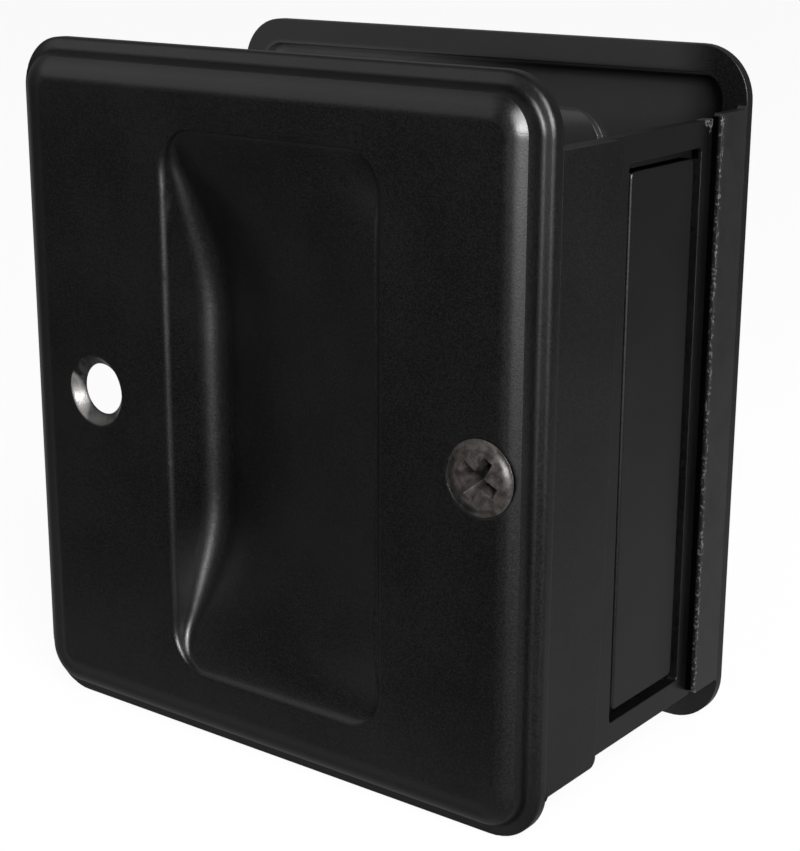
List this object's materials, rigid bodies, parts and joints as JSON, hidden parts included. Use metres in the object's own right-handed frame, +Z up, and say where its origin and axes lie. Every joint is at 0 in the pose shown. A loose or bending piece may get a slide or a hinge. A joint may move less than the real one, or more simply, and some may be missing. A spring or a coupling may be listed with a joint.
{
  "type": "pocket door pull",
  "caption": "Pocket door pull: two dished face plates that clip over a door's edge, held by a clamp screw, with a sprung flip-out edge pull in a window frame",
  "frame": {"origin": "Middle of the gap between the face plates as shown, at the centre of their outline", "axes": "+X points out of the door's edge, +Y from the front plate to the rear plate, +Z up"},
  "size_m": [0.0724, 0.0442, 0.0794],
  "materials": {
    "satin_black": "satin black paint with a fine grain",
    "blackened_steel": "blackened steel, slightly lighter and browner than the plates",
    "plain_steel": "turned steel, dull",
    "spring_steel": "drawn spring wire"
  },
  "bodies": {
    "front_half": {"front_plate": "satin_black", "front_strap": "satin_black", "edge_frame": "satin_black", "pull_pin": "plain_steel", "pull_spring": "spring_steel", "clamp_screw": "blackened_steel"},
    "rear_half": {"rear_plate": "satin_black", "rear_strap": "satin_black", "left_post": "plain_steel", "right_post": "plain_steel"},
    "edge_pull": {"edge_pull": "satin_black"}
  },
  "joints": [
    {"name": "door_thickness", "type": "slide", "parent": "front_half", "child": "rear_half", "axis": [0, 1, 0], "range_m": [-0.00168, 0.00785]},
    {"name": "edge_pull_hinge", "type": "hinge", "parent": "front_half", "child": "edge_pull", "pos_m": [0.03035, 0.0033, 0.0091], "axis": [0, -1, 0], "range_deg": [0, 40], "stiffness_Nm_per_rad": 0.02, "springref_deg": -28.65, "deforming": ["pull_spring"]}
  ]
}
